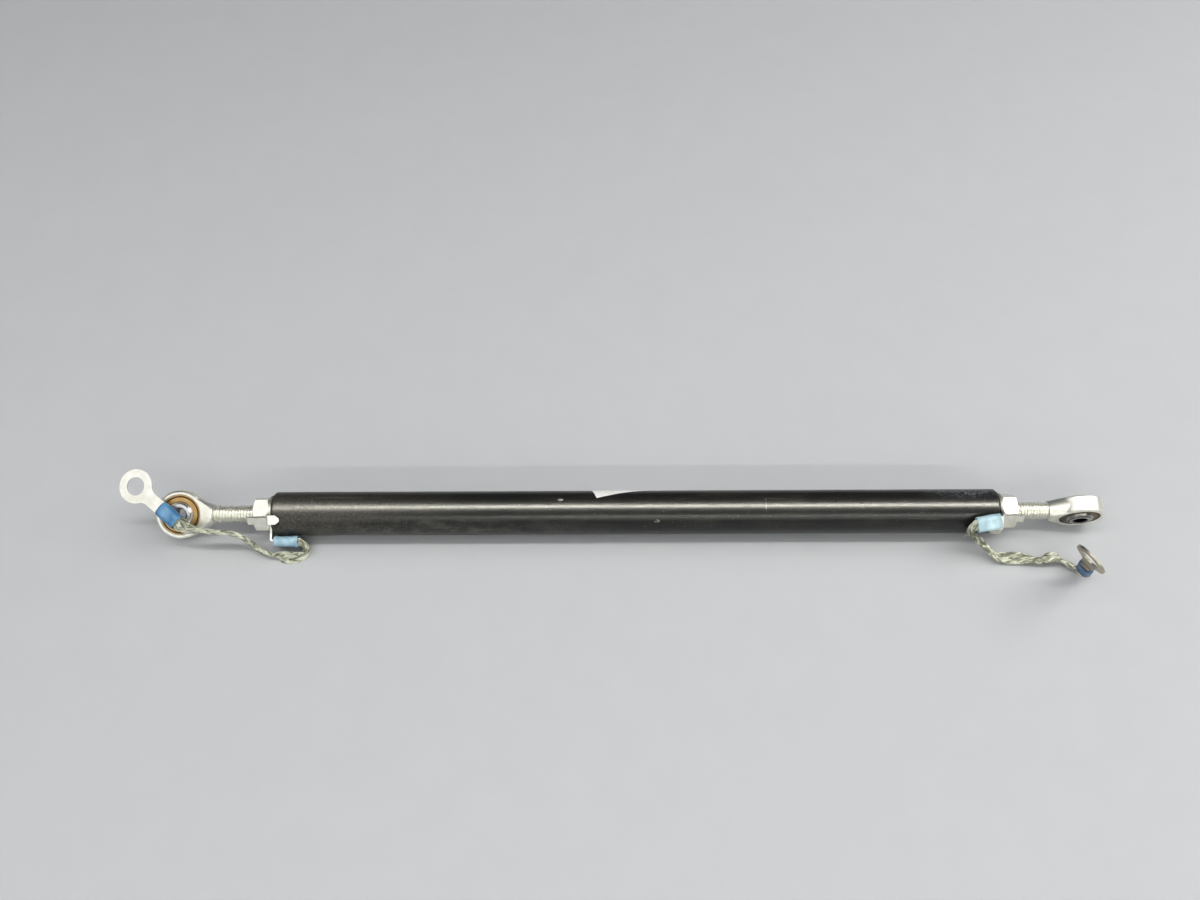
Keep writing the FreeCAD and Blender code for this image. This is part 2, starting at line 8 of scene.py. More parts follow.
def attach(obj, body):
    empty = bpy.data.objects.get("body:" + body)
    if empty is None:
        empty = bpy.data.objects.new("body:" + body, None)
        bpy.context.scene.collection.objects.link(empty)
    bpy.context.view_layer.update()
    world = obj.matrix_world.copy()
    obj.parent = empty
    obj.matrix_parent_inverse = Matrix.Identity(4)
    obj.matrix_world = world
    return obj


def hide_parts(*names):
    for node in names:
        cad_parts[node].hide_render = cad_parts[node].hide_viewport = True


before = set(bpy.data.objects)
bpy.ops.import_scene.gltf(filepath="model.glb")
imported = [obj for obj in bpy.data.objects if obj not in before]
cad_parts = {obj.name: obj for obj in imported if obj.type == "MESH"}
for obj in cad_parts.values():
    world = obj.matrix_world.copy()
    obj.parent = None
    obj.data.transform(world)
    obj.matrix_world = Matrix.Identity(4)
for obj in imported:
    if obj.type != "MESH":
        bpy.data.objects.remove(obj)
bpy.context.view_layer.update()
random.seed(11)

# Sizes in metres, in the frame of the CAD: +X along the rod, +Z up
MM = 0.001
TUBE_R = 7.9375 * MM
FLOOR_Z = -9.16 * MM
# The turn of each eye about the rod in degrees, and the middle of its ball
EYE_TURN = {"left": 38.7, "right": 107.0}
BALL_X = {"left": 0.0, "right": 325.45 * MM}
# The screw thread of a rod end, measured from the ball's centre
THREAD_START = 11.6 * MM
SHANK_END = 45.0 * MM
THREAD_R = 3.175 * MM
THREAD_PITCH = 1.1 * MM
THREAD_DEPTH = 0.55 * MM

# Control points of the braids' routes, from the barrel of the clamped terminal
# to the barrel of the free one
ROUTES = {
    "left": [
        (0.0405, -0.00935, -0.00416),
        (0.0446, -0.00935, -0.0042), (0.0459, -0.0112, -0.0069),
        (0.0440, -0.0136, -0.00785), (0.0396, -0.0140, -0.00785),
        (0.0348, -0.0131, -0.00785), (0.0302, -0.0118, -0.0078),
        (0.0264, -0.0099, -0.0063), (0.0234, -0.0087, -0.0032),
        (0.0202, -0.0085, -0.0002), (0.0158, -0.0086, 0.0008),
        (0.0112, -0.0091, 0.0020), (0.0064, -0.0090, 0.0032),
        (0.0020, -0.0078, 0.0035),
        (-0.001195, -0.005331, 0.004531),
    ],
    "right": [
        (0.287899, -0.009187, 0.0047),
        (0.2844, -0.00956, 0.00416), (0.2831, -0.0107, 0.0014),
        (0.2868, -0.0113, -0.0013), (0.2902, -0.0124, -0.0045),
        (0.2936, -0.0148, -0.0074), (0.2978, -0.0156, -0.00785),
        (0.3022, -0.0154, -0.0076), (0.3066, -0.0162, -0.0077),
        (0.3106, -0.0172, -0.0070), (0.3140, -0.0158, -0.0058),
        (0.3172, -0.0170, -0.0070), (0.3206, -0.0190, -0.00785),
        (0.3243, -0.0212, -0.0077),
        (0.323181, -0.022805, -0.003766),
    ],
}

# One strand that sticks out of the right clamped crimp
STRAY_STRAND = [
    (0.2858, -0.0110, 0.0046), (0.2841, -0.0118, 0.0034), (0.2828, -0.0122, 0.0020),
    (0.2820, -0.0118, 0.0016), (0.2812, -0.0120, 0.0010),
]

# Each free terminal: the middle of its hole in mm, then yaw, dip and roll in degrees
FREE_END = {
    "left": ((-15.57, 5.82, 9.27), (-37.8, 14.6, 30.1)),
    "right": ((318.4, -29.84, 13.0), (55.8, 63.1, -158.0)),
}
FREE_BARREL_START = 12.4 * MM
# Each clamped terminal: its ring's place on the rod, its turn about it in degrees,
# how far its tongue is bent aside in degrees, and how far on its barrel starts
CLAMPED_END = {
    "left": (33.2 * MM, 114, 0, 0.1 * MM),
    "right": (295.55 * MM, 55.7, 10.7, 0.572 * MM),
}
# From the ring's middle to the tongue that is folded over the tube
FOLD = Matrix.Translation((0.8 * MM, 0, 10.2375 * MM))


# Materials
def new_material(name):
    mat = bpy.data.materials.new(name)
    mat.use_nodes = True
    tree = mat.node_tree
    return mat, tree, tree.nodes["Principled BSDF"]


def add(tree, kind, **values):
    """A new node with values for its sockets or, where it has no such socket, itself."""
    node = tree.nodes.new(kind)
    for key, value in values.items():
        if key in node.inputs:
            node.inputs[key].default_value = value
        else:
            setattr(node, key, value)
    return node


def placed(tree, scale=(1, 1, 1), turn=(0, 0, 0), shift=(0, 0, 0)):
    """The piece's own coordinates, moved, turned and scaled."""
    where = add(tree, "ShaderNodeTexCoord")
    mapping = add(tree, "ShaderNodeMapping")
    mapping.inputs["Location"].default_value = shift
    mapping.inputs["Rotation"].default_value = turn
    mapping.inputs["Scale"].default_value = scale
    tree.links.new(where.outputs["Object"], mapping.inputs["Vector"])
    return mapping.outputs["Vector"]


def noise(tree, vector, scale, detail=3.0, roughness=0.55):
    node = add(tree, "ShaderNodeTexNoise",
               Scale=scale, Detail=detail, Roughness=roughness)
    tree.links.new(vector, node.inputs["Vector"])
    return node.outputs["Fac"]


def remap(tree, value, low, high, to_low=0.0, to_high=1.0):
    """Stretches low to high over another range and clamps what lies outside."""
    node = add(tree, "ShaderNodeMapRange")
    for key, number in (("From Min", low), ("From Max", high),
                        ("To Min", to_low), ("To Max", to_high)):
        node.inputs[key].default_value = number
    tree.links.new(value, node.inputs["Value"])
    return node.outputs["Result"]


def math_node(tree, operation, first, second=0.0):
    node = add(tree, "ShaderNodeMath", operation=operation)
    for slot_number, value in enumerate((first, second)):
        if isinstance(value, (int, float)):
            node.inputs[slot_number].default_value = value
        else:
            tree.links.new(value, node.inputs[slot_number])
    return node.outputs["Value"]


def mix(tree, factor, first, second):
    node = add(tree, "ShaderNodeMix", data_type="RGBA")
    tree.links.new(factor, node.inputs["Factor"])
    for socket, value in ((node.inputs[6], first), (node.inputs[7], second)):
        if isinstance(value, tuple):
            socket.default_value = (*value, 1.0)
        else:
            tree.links.new(value, socket)
    return node.outputs[2]


def bump(tree, shader, height, strength, distance):
    node = add(tree, "ShaderNodeBump", Strength=strength, Distance=distance)
    tree.links.new(height, node.inputs["Height"])
    tree.links.new(node.outputs["Normal"], shader.inputs["Normal"])


def metal(name, light, dark, low, high, grain=900.0, relief=0.15):
    """A metal whose tone and gloss both vary over its surface."""
    mat, tree, shader = new_material(name)
    shader.inputs["Metallic"].default_value = 1.0
    body = placed(tree)
    blotch = noise(tree, body, grain * 0.25, 4.0)
    tone = remap(tree, blotch, 0.35, 0.68)
    tree.links.new(mix(tree, tone, dark, light), shader.inputs["Base Color"])
    fine = noise(tree, body, grain, 5.0, 0.6)
    tree.links.new(remap(tree, fine, 0.3, 0.7, low, high), shader.inputs["Roughness"])
    bump(tree, shader, fine, relief, 0.00005)
    return mat


def near(tree, centre, reach, blur):
    """One inside an upright ellipsoid given in mm, nought outside, with a soft edge."""
    where = add(tree, "ShaderNodeTexCoord")
    away = add(tree, "ShaderNodeMapping", vector_type="TEXTURE")
    away.inputs["Location"].default_value = [c * MM for c in centre]
    away.inputs["Scale"].default_value = [r * MM for r in reach]
    tree.links.new(where.outputs["Object"], away.inputs["Vector"])
    far = add(tree, "ShaderNodeVectorMath", operation="LENGTH")
    tree.links.new(away.outputs["Vector"], far.inputs[0])
    return remap(tree, far.outputs["Value"], 1.0 + blur, 1.0 - blur)


# Chips in the paint: centre and reach in mm, and strength
CHIPS = [
    ((137.4, 0.0, 7.9), (0.95, 0.5, 0.5), 0.85),
    ((171.9, -6.8, 4.1), (0.95, 0.5, 0.5), 0.75),
    ((211.0, -2.4, 7.4), (0.14, 2.6, 1.6), 0.6),
]


def paint():
    """Black paint: streaky, rubbed grey low on the front, scuffed and chipped."""
    mat, tree, shader = new_material("black_paint")
    body = placed(tree)

    def times(first, second):
        return math_node(tree, "MULTIPLY", first, second)

    def cloud(low, high, scale, detail, roughness, where=body):
        """Noise that is nought below low and one above high."""
        return remap(tree, noise(tree, where, scale, detail, roughness), low, high)

    # Parts of the tube
    along = add(tree, "ShaderNodeSeparateXYZ")
    tree.links.new(body, along.inputs[0])
    left_end = remap(tree, along.outputs["X"], 0.11, 0.035)
    low_front = near(tree, (88, -7.0, -1.2), (56, 2.6, 5.0), 0.5)
    high_right = near(tree, (282, 3.2, 7.1), (12, 2.8, 2.2), 0.4)

    # Marks, each with its own noise
    stretched = placed(tree, (0.12, 1, 1))
    scuff = times(cloud(0.46, 0.66, 220.0, 6.0, 0.62, stretched),
                  cloud(0.44, 0.60, 60.0, 4.0, 0.6))
    speck = cloud(0.70, 0.76, 1500.0, 1.0, 0.5)
    slanting = placed(tree, (0.03, 1, 1), (0, 0, 0.06))
    scratch = cloud(0.69, 0.74, 900.0, 2.0, 0.5, slanting)
    dust = times(left_end, cloud(0.42, 0.66, 1000.0, 5.0, 0.75))
    grain = times(cloud(0.44, 0.62, 330.0, 6.0, 0.75, placed(tree, (0.45, 1, 1))),
                  cloud(0.36, 0.60, 2100.0, 3.0, 0.7))
    grazed = times(low_front, grain)
    rubs = times(high_right, cloud(0.50, 0.60, 700.0, 6.0, 0.8))
    ragged = cloud(0.42, 0.56, 1300.0, 2.0, 0.55)

    # Colours, from the plain paint up to the chips
    tone = mix(tree, scuff, (0.005, 0.005, 0.0045), (0.018, 0.016, 0.012))
    marks = [
        (dust, 1.0, (0.050, 0.046, 0.033)),
        (grazed, 0.6, (0.15, 0.145, 0.125)),
        (rubs, 0.6, (0.24, 0.26, 0.29)),
        (speck, 0.5, (0.16, 0.155, 0.14)),
        (scratch, 0.3, (0.12, 0.115, 0.105)),
    ]
    for centre, reach, strength in CHIPS:
        chip = times(near(tree, centre, reach, 0.25), ragged)
        marks.append((chip, strength, (0.5, 0.48, 0.42)))
    for mask, strength, colour in marks:
        tone = mix(tree, times(mask, strength), tone, colour)
    tree.links.new(tone, shader.inputs["Base Color"])

    streaks = noise(tree, placed(tree, (0.5, 1, 1)), 300.0, 6.0, 0.65)
    rough = remap(tree, streaks, 0.3, 0.7, 0.27, 0.33)
    for mask, extra in ((left_end, 0.12), (grazed, 0.25)):
        rough = math_node(tree, "ADD", rough, times(mask, extra))
    tree.links.new(rough, shader.inputs["Roughness"])
    shader.inputs["Specular IOR Level"].default_value = 0.35
    shader.inputs["Coat Weight"].default_value = 0.1
    shader.inputs["Coat Roughness"].default_value = 0.25
    bump(tree, shader, noise(tree, body, 900.0, 3.0), 0.02, 0.00003)
    return mat


def turned(name, side, light, dark, low, high, ring_scale, ring):
    """Metal turned on a lathe about the eye's axis, with one ring of painted shade on it."""
    mat, tree, shader = new_material(name)
    shader.inputs["Metallic"].default_value = 1.0
    turn = math.radians(EYE_TURN[side])
    aligned = placed(tree, (1, 1, 1), (-turn, 0, 0), (-BALL_X[side], 0, 0))
    parts = add(tree, "ShaderNodeSeparateXYZ")
    tree.links.new(aligned, parts.inputs[0])
    squares = [math_node(tree, "MULTIPLY", part, part) for part in parts.outputs[:2]]
    reach = math_node(tree, "POWER", math_node(tree, "ADD", *squares), 0.5)
    flat = add(tree, "ShaderNodeCombineXYZ")
    tree.links.new(reach, flat.inputs[0])
    rings = noise(tree, flat.outputs[0], ring_scale, 3.0, 0.6)
    blotch = noise(tree, placed(tree), 320.0, 4.0)
    share = remap(tree, math_node(tree, "ADD", rings, blotch), 0.8, 1.25)
    # The ring of painted shade: its radius from the axis, half width and dark colour
    middle, half, colour = ring
    away = math_node(tree, "ABSOLUTE", math_node(tree, "SUBTRACT", reach, middle))
    tone = mix(tree, remap(tree, away, half, half * 0.4),
               mix(tree, share, dark, light), colour)
    tree.links.new(tone, shader.inputs["Base Color"])
    tree.links.new(remap(tree, rings, 0.3, 0.7, low, high), shader.inputs["Roughness"])
    bump(tree, shader, rings, 0.25, 0.00004)
    return mat


def plastic(name, light, dark, low, high, crimp=None, lip=None):
    """Cloudy plastic, if asked with a painted highlight on its crimp's dent and painted shade on
    its front lip.
    """
    mat, tree, shader = new_material(name)
    body = placed(tree)
    cloud = noise(tree, body, 420.0, 3.0)
    tone = mix(tree, remap(tree, cloud, 0.35, 0.68), dark, light)
    if crimp:
        # A painted highlight where the crimp is dented; pressed is its mask
        painted_highlight = tuple(min(1.0, c * 1.15 + 0.12) for c in light)
        shaded = tuple(c * 0.45 for c in dark)
        pressed = math_node(tree, "MULTIPLY", near(tree, crimp, (2.0, 2.0, 2.0), 0.5), 0.55)
        tone = mix(tree, pressed, tone, painted_highlight)
        # Painted shade on the sleeve's front lip
        tone = mix(tree, near(tree, lip, (2.9, 2.9, 2.9), 0.12), tone, shaded)
    tree.links.new(tone, shader.inputs["Base Color"])
    gloss = remap(tree, noise(tree, body, 1400.0), 0.3, 0.7, low, high)
    tree.links.new(gloss, shader.inputs["Roughness"])
    shader.inputs["Subsurface Weight"].default_value = 0.25
    shader.inputs["Subsurface Radius"].default_value = (0.0006, 0.0008, 0.0012)
    bump(tree, shader, noise(tree, body, 700.0), 0.25, 0.0001)
    return mat


PAINT = paint()
PLATING = metal("plated_steel", (0.95, 0.945, 0.875), (0.82, 0.815, 0.72), 0.36, 0.5,
                2400.0, relief=0.08)
TIN = metal("tinned_sheet", (0.96, 0.955, 0.92), (0.78, 0.77, 0.69), 0.38, 0.56)
# Darker tin for the right free terminal: a little tarnish, mostly painted shade and a painted
# dark reflection
TARNISHED_SHADED_TIN = metal("tarnished_tinned_sheet_painted_shade", (0.66, 0.61, 0.50), (0.30, 0.27, 0.21), 0.34, 0.5)
BRAID = metal("braid_wire", (0.84, 0.85, 0.73), (0.54, 0.56, 0.45), 0.34, 0.52, 1500.0)
DULL_BRAID = metal("dull_braid_wire", (0.46, 0.47, 0.37), (0.20, 0.205, 0.15), 0.42, 0.6,
                   1500.0)
# Rings of painted shade on the turned parts, in the race's groove and down the ball's bore:
# radius from the eye's axis, half width and colour
GROOVE_SHADE = (6.5 * MM, 0.34 * MM, (0.13, 0.08, 0.035))
BORE_SHADE = (2.0 * MM, 0.9 * MM, (0.05, 0.045, 0.04))
# The right race is a darker copy of the left one: painted shade, as the right eye faces down
# towards the floor
BRASS_AND_SHADED_BRASS = {
    "left": turned("left_race_brass", "left", (0.66, 0.45, 0.20), (0.40, 0.25, 0.10),
                   0.32, 0.5, 2200.0, GROOVE_SHADE),
    "right": turned("right_race_brass_painted_shade", "right", (0.24, 0.185, 0.115), (0.06, 0.045, 0.03),
                    0.35, 0.55, 2200.0, GROOVE_SHADE),
}
# The right ball's darker steel is painted shade as well
STEEL_AND_SHADED_STEEL = {
    "left": turned("left_ball_steel", "left", (0.86, 0.85, 0.83), (0.62, 0.61, 0.60),
                   0.16, 0.32, 2600.0, BORE_SHADE),
    "right": turned("right_ball_steel_painted_shade", "right", (0.50, 0.49, 0.46), (0.16, 0.155, 0.145),
                    0.18, 0.36, 2600.0, BORE_SHADE),
}


def sleeve_frame(side, kind):
    """From a sleeve's own axes, +X from the tongue to the wires, to the CAD frame."""
    if kind == "free":
        centre, turns = FREE_END[side]
        yaw, dip, roll = (math.radians(a) for a in turns)
        spin = (Matrix.Rotation(yaw, 4, "Z") @ Matrix.Rotation(dip, 4, "Y")
                @ Matrix.Rotation(roll, 4, "X"))
        start = Matrix.Translation((FREE_BARREL_START, 0, 0))
        return Matrix.Translation(Vector(centre) * MM) @ spin @ start
    at, turn, aside, start = CLAMPED_END[side]
    place = Matrix.Translation((at, 0, 0)) @ Matrix.Rotation(math.radians(turn), 4, "X")
    if side == "right":
        place = place @ Matrix.Rotation(math.pi, 4, "Z")
    bent = Matrix.Rotation(math.radians(aside), 4, "Z")
    return place @ FOLD @ bent @ Matrix.Translation((start, 0, 0))


# The middle of the painted highlight on a crimp's dent and of the painted shade on its front lip,
# in the sleeve's own axes in mm
HIGHLIGHT_SPOT = (3.1, 0, 1.6)
LIP_SHADE_SPOT = (-2.2, 0, 0)


def sleeve_plastic(side, kind, light, dark):
    where = sleeve_frame(side, kind)
    crimp, lip = (tuple(where @ (Vector(spot) * MM) / MM) for spot in (HIGHLIGHT_SPOT, LIP_SHADE_SPOT))
    return plastic(f"{side}_{kind}_sleeve_plastic", light, dark, 0.28, 0.45, crimp, lip)


SLEEVES = {
    (side, kind): sleeve_plastic(side, kind, light, dark) for side, kind, light, dark in (
        ("left", "free", (0.085, 0.25, 0.43), (0.035, 0.13, 0.27)),
        ("right", "free", (0.025, 0.12, 0.26), (0.012, 0.045, 0.10)),
        ("left", "clamped", (0.36, 0.52, 0.60), (0.17, 0.31, 0.41)),
        ("right", "clamped", (0.45, 0.61, 0.66), (0.29, 0.45, 0.51)),
    )
}
STICKER = plastic("blank_sticker", (0.86, 0.86, 0.84), (0.74, 0.74, 0.71), 0.4, 0.6)


# Meshes
def dress(node, material, bevel):
    """Finishes a CAD piece: its material, and edges that catch the light."""
    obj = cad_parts[node]
    obj.data.materials.clear()
    obj.data.materials.append(material)
    if bevel:
        soften(obj, bevel)
    return obj


def soften(obj, width, by_weight=False):
    """Rounds the edges sharper than 30 degrees, or those that are marked."""
    modifier = obj.modifiers.new("edges", "BEVEL")
    modifier.width = width
    modifier.segments = 2
    modifier.limit_method = "WEIGHT" if by_weight else "ANGLE"
    modifier.angle_limit = math.radians(30)
    modifier.harden_normals = False
    even = obj.modifiers.new("even_shading", "WEIGHTED_NORMAL")
    even.keep_sharp = True


def shade_smooth(mesh, angle):
    mesh.polygons.foreach_set("use_smooth", [True] * len(mesh.polygons))
    mesh.set_sharp_from_angle(angle=math.radians(angle))


def new_object(name, mesh, material, body):
    """Puts a mesh in the scene with its material and the body it rides on."""
    obj = bpy.data.objects.new(name, mesh)
    bpy.context.scene.collection.objects.link(obj)
    mesh.materials.clear()
    mesh.materials.append(material)
    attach(obj, body)
    return obj


def mesh_from(name, points, faces):
    mesh = bpy.data.meshes.new(name)
    mesh.from_pydata(points, [], faces)
    mesh.validate()
    mesh.update()
    return mesh


def end_frame(side):
    """From a rod end's own axes, +X from the ball to the tube, to the CAD frame."""
    flip = Matrix.Rotation(math.pi, 4, "Z") if side == "right" else Matrix.Identity(4)
    turn = Matrix.Rotation(math.radians(EYE_TURN[side]), 4, "X")
    return Matrix.Translation((BALL_X[side], 0, 0)) @ turn @ flip


# Screw threads: the section runs along one pitch, with its depth as a share
ROUND_STEPS = 48
THREAD_SECTION = [(0.0, 1.0), (0.12, 1.0), (0.38, 0.0), (0.62, 0.0), (0.88, 1.0), (1.0, 1.0)]
CORE_R = THREAD_R - THREAD_DEPTH
ROOT_R = CORE_R - 0.01 * MM


def threaded_shank(start, end):
    """A right-hand thread along +X that fades out over its first and last turn."""
    turns = int((end - start) / THREAD_PITCH)
    rows = turns * ROUND_STEPS + 1
    points = []
    faces = []
    for row in range(rows):
        angle = 2 * math.pi * row / ROUND_STEPS
        x0 = start + THREAD_PITCH * row / ROUND_STEPS
        fade = min(1.0, row / ROUND_STEPS, (rows - 1 - row) / ROUND_STEPS)
        for offset, depth in THREAD_SECTION:
            r = ROOT_R + THREAD_DEPTH * (1 - depth) * fade
            x = x0 + (offset - 0.5) * THREAD_PITCH
            points.append((x, r * math.sin(angle), r * math.cos(angle)))
    width = len(THREAD_SECTION)
    for row in range(rows - 1):
        for column in range(width - 1):
            a = row * width + column
            faces.append((a, a + 1, a + 1 + width, a + width))
    return points, faces


def lathe(profile):
    """Surface of revolution about X from (x, r) pairs, closed where r is 0."""
    points = []
    faces = []
    for x, r in profile:
        for step in range(ROUND_STEPS):
            angle = 2 * math.pi * step / ROUND_STEPS
            points.append((x, r * math.sin(angle), r * math.cos(angle)))
    for ring in range(len(profile) - 1):
        for step in range(ROUND_STEPS):
            after = (step + 1) % ROUND_STEPS
            a, b = ring * ROUND_STEPS, (ring + 1) * ROUND_STEPS
            faces.append((a + step, a + after, b + after, b + step))
    return points, faces


# The plain core inside the thread, from inside the neck to the end of the shank
CORE_PROFILE = [
    (THREAD_START - 1 * MM, 0), (THREAD_START - 1 * MM, THREAD_R),
    (THREAD_START + 0.1 * MM, THREAD_R), (THREAD_START + 0.4 * MM, CORE_R),
    (SHANK_END - 0.8 * MM, CORE_R), (SHANK_END, CORE_R - 0.3 * MM), (SHANK_END, 0),
]
# Edges sharper than this, in degrees, are rounded and split the smooth shading
CREASE = 24


def rod_end(side):
    """The CAD head and neck, with a real screw thread in place of the plain shank."""
    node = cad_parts[f"{side}_rod_end_body"]
    mesh = node.data.copy()
    mesh.name = f"{side}_threaded_rod_end"
    mesh.transform(end_frame(side).inverted())
    work = bmesh.new()
    work.from_mesh(mesh)
    everything = work.verts[:] + work.edges[:] + work.faces[:]
    cut = bmesh.ops.bisect_plane(work, geom=everything, dist=1e-7, clear_outer=True,
                                 plane_co=(THREAD_START, 0, 0), plane_no=(1, 0, 0))
    rim = [e for e in cut["geom_cut"] if isinstance(e, bmesh.types.BMEdge)]
    bmesh.ops.contextual_create(work, geom=rim)
    weight = work.edges.layers.float.new("bevel_weight_edge")
    for edge in work.edges:
        if len(edge.link_faces) == 2 and edge.calc_face_angle() > math.radians(CREASE):
            edge[weight] = 1.0
    work.to_mesh(mesh)
    work.free()
    shade_smooth(mesh, CREASE)
    body = new_object(f"{side}_threaded_rod_end", mesh, PLATING,
                      f"{side}_rod_end")
    thread = threaded_shank(THREAD_START, SHANK_END - 0.3 * MM)
    for points, faces in (thread, lathe(CORE_PROFILE)):
        part = mesh_from("thread", points, faces)
        shade_smooth(part, 25)
        whole = bmesh.new()
        whole.from_mesh(mesh)
        whole.from_mesh(part)
        whole.to_mesh(mesh)
        whole.free()
        bpy.data.meshes.remove(part)
    mesh.transform(end_frame(side))
    soften(body, 0.18 * MM, by_weight=True)
    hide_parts(f"{side}_rod_end_body")


# Braids: flat tubes of strands, with as many carriers one way as the other
BRAID_WIDTH = 4.4 * MM
BRAID_THICKNESS = 1.35 * MM
CARRIERS = 12
BRAID_PITCH = 25 * MM
STRAND_WIDTH = 0.74 * MM
WIRES = 4
STRAND_THICKNESS = STRAND_WIDTH / WIRES
WEAVE_LIFT = 0.1 * MM
# How far a loose strand can stand off
LOOSE_REACH = 0.45 * MM
# How a strand wavers along the braid, as a share of the gap between two carriers
WAVER = 0.12
WAVER_LENGTH = 2.3 * MM
SPINE_STEP = 0.36 * MM
# Below this height a strand is squashed against the floor
REST_LEVEL = FLOOR_Z + 0.12 * MM
SQUASH = 0.1
# The way from the rod to the viewer of the photograph
TO_VIEWER = Vector((0, -0.6225, 0.7826))
# Along each braid, as a share of its length: how far its flat is turned away
# from the viewer in degrees, its width and thickness as a share of the full
# ones, and how loose its strands are
LAY = {
    "left": [
        (0.0, 104.5, 0.98, 2.0, 0), (0.04, 103, 0.98, 1.9, 0), (0.09, 88, 0.92, 1.3, 0.05),
        (0.13, 70, 0.9, 1.1, 0.05), (0.17, 38, 0.95, 1.0, 0.05), (0.21, 8, 1.02, 1.0, 0.1),
        (0.26, 6, 1.02, 1.0, 0.1), (0.3, 40, 0.95, 1.0, 0.1), (0.335, 84, 0.9, 1.05, 0),
        (0.38, 74, 0.95, 1.1, 0), (0.5, 68, 0.98, 1.1, 0), (0.6, 74, 0.95, 1.05, 0),
        (0.7, 86, 0.95, 1.1, 0), (0.78, 80, 0.95, 1.15, 0.1), (0.86, 66, 1.0, 1.4, 0.5),
        (0.92, 32, 1.05, 1.7, 1.0), (0.965, 4, 0.98, 2.0, 0.3), (1.0, 0.1, 0.96, 2.1, 0),
    ],
    "right": [
        (0.0, 16.9, 0.98, 2.0, 0), (0.035, 20, 0.96, 1.9, 0), (0.07, 58, 0.95, 1.5, 0.4),
        (0.1, 74, 0.95, 1.3, 0.5), (0.15, 70, 0.95, 1.2, 0.3), (0.23, 62, 0.95, 1.1, 0.1),
        (0.29, 67, 0.95, 1.1, 0), (0.36, 60, 1.0, 1.05, 0), (0.425, 36, 1.0, 1.0, 0),
        (0.495, 22, 1.0, 1.0, 0), (0.56, 43, 1.0, 1.0, 0), (0.615, 73, 0.95, 1.1, 0),
        (0.655, 78, 0.95, 1.1, 0), (0.7, 52, 0.98, 1.0, 0), (0.74, 52, 0.98, 1.0, 0),
        (0.79, 73, 0.95, 1.1, 0), (0.85, 78, 0.95, 1.2, 0.1), (0.92, 86, 0.98, 1.5, 0.5),
        (0.965, 94, 0.98, 2.0, 0.2), (1.0, 94.1, 0.96, 2.1, 0),
    ],
}


def nurbs_mesh(name, control, resolution, radius=0.0):
    """A smooth NURBS line as edges, or as a round wire if it has a radius."""
    curve = bpy.data.curves.new(name, "CURVE")
    curve.dimensions = "3D"
    curve.resolution_u = resolution
    if radius:
        curve.bevel_depth = radius
        curve.bevel_resolution = 2
        curve.use_fill_caps = True
    spline = curve.splines.new("NURBS")
    spline.points.add(len(control) - 1)
    for point, place in zip(spline.points, control):
        point.co = (*place, 1.0)
    spline.order_u = 3
    spline.use_endpoint_u = True
    holder = bpy.data.objects.new(name, curve)
    bpy.context.scene.collection.objects.link(holder)
    mesh = bpy.data.meshes.new_from_object(holder)
    bpy.data.objects.remove(holder)
    bpy.data.curves.remove(curve)
    return mesh


def route_points(side):
    """Points along the smooth line of a braid's route."""
    mesh = nurbs_mesh(f"{side}_route", ROUTES[side], 24)
    points = [v.co.copy() for v in mesh.vertices]
    bpy.data.meshes.remove(mesh)
    return points


def evenly(points, step):
    """The same line with its points about a step apart, and its length."""
    along = [0.0]
    for a, b in zip(points, points[1:]):
        along.append(along[-1] + (b - a).length)
    count = int(along[-1] / step)
    result = []
    index = 0
    for number in range(count + 1):
        target = along[-1] * number / count
        while index < len(points) - 2 and along[index + 1] < target:
            index += 1
        span = along[index + 1] - along[index]
        share = (target - along[index]) / span if span else 0
        result.append(points[index].lerp(points[index + 1], share))
    return result, along[-1]


def lay_at(table, share):
    """The row of a lay table at a share of the length, eased between its rows."""
    for before, after in zip(table, table[1:]):
        if share <= after[0]:
            t = (share - before[0]) / (after[0] - before[0])
            t = t * t * (3 - 2 * t)
            return [a + (b - a) * t for a, b in zip(before[1:], after[1:])]
    return table[-1][1:]


def slot_point(share, width, height):
    """A point round a slot shape, from the middle of its upper flat."""
    flat = (width - height) / 2
    radius = height / 2
    arc = math.pi * radius
    at = share * (4 * flat + 2 * arc)
    for start, side in ((0, 1), (2 * flat + arc, -1)):
        at_side = at - start
        if at_side < flat:
            return side * at_side, side * radius
        if at_side < flat + arc:
            turn = (at_side - flat) / radius
            return side * (flat + radius * math.sin(turn)), side * radius * math.cos(turn)
        if at_side < 2 * flat + arc:
            return side * (2 * flat + arc - at_side), -side * radius
    return 0.0, radius


def outward(x, z, width, height):
    """The way out of a slot shape at a point on it."""
    flat = (width - height) / 2
    return Vector((x - max(-flat, min(flat, x)), z)).normalized()


def strand_section():
    """Across a strand and up from its middle: a row of round wires, flat below."""
    points = []
    for number in range(WIRES):
        for across, up in ((0.06, 0.15), (0.3, 0.9), (0.5, 1.0), (0.7, 0.9), (0.94, 0.15)):
            points.append(((number + across) / WIRES - 0.5, up))
    return points + [(0.42, -0.6), (0, -1.0), (-0.42, -0.6)]


def braid_frames(side, spine):
    """At each point of the spine: the point, the way along the flat, the way out
    of it, and the width, thickness and looseness there."""
    count = len(spine)
    frames = []
    for index, centre in enumerate(spine):
        ahead = spine[min(index + 1, count - 1)]
        behind = spine[max(index - 1, 0)]
        tangent = (ahead - behind).normalized()
        facing = (TO_VIEWER - tangent * TO_VIEWER.dot(tangent)).normalized()
        sideways = tangent.cross(facing)
        angle, wide, thick, loose = lay_at(LAY[side], index / (count - 1))
        turn = math.radians(angle)
        flat = sideways * math.cos(turn) + facing * math.sin(turn)
        frames.append((centre, flat, tangent.cross(flat), wide, thick, loose))
    return frames


